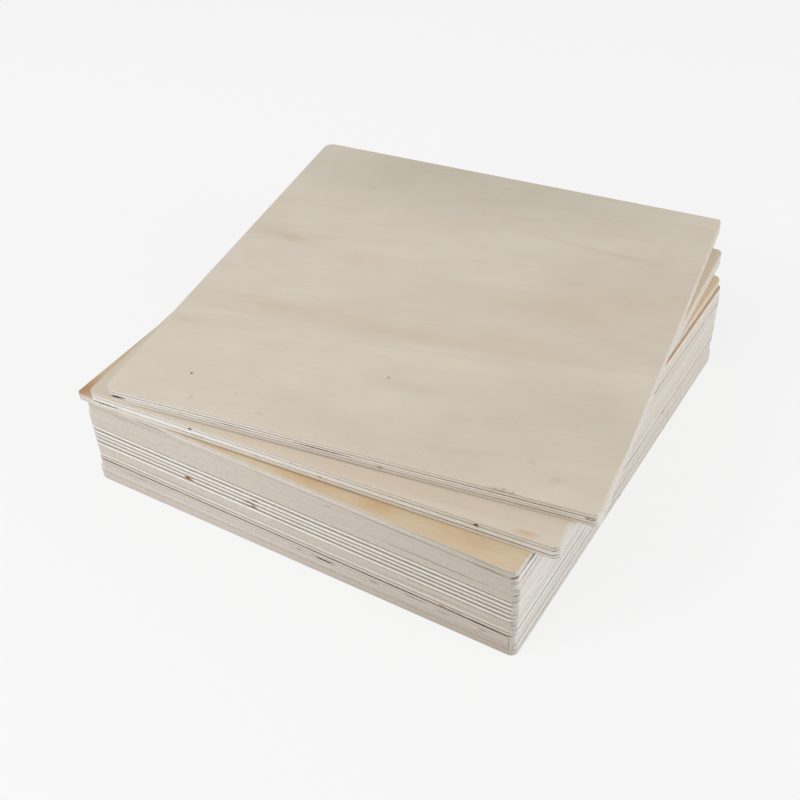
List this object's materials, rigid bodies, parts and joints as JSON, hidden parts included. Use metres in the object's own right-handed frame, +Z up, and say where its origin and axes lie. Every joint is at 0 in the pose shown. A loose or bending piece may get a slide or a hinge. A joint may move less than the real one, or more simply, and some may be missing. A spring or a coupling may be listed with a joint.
{
  "type": "stack of plywood sheets",
  "caption": "Pile of loose square plywood sheets with rounded corners, mostly squared up, with the top sheets laid askew.",
  "frame": {"origin": "centre of the bottom sheet's underside, on the floor", "axes": "+X to the right along the front of the squared-up pile, +Y to its back, +Z up through the sheets"},
  "size_m": [0.2308, 0.2312, 0.0598],
  "materials": {
    "pale_plywood": "sanded bare veneer",
    "warm_plywood": "sanded bare veneer"
  },
  "bodies": {
    "root": {"bottom_sheet": "pale_plywood", "ninth_sheet": "pale_plywood", "eighth_sheet": "pale_plywood", "seventh_sheet": "pale_plywood", "sixth_sheet": "pale_plywood", "fifth_sheet": "pale_plywood", "fourth_sheet": "pale_plywood", "third_sheet_thin": "warm_plywood", "second_sheet": "pale_plywood", "top_sheet": "pale_plywood"}
  },
  "joints": []
}
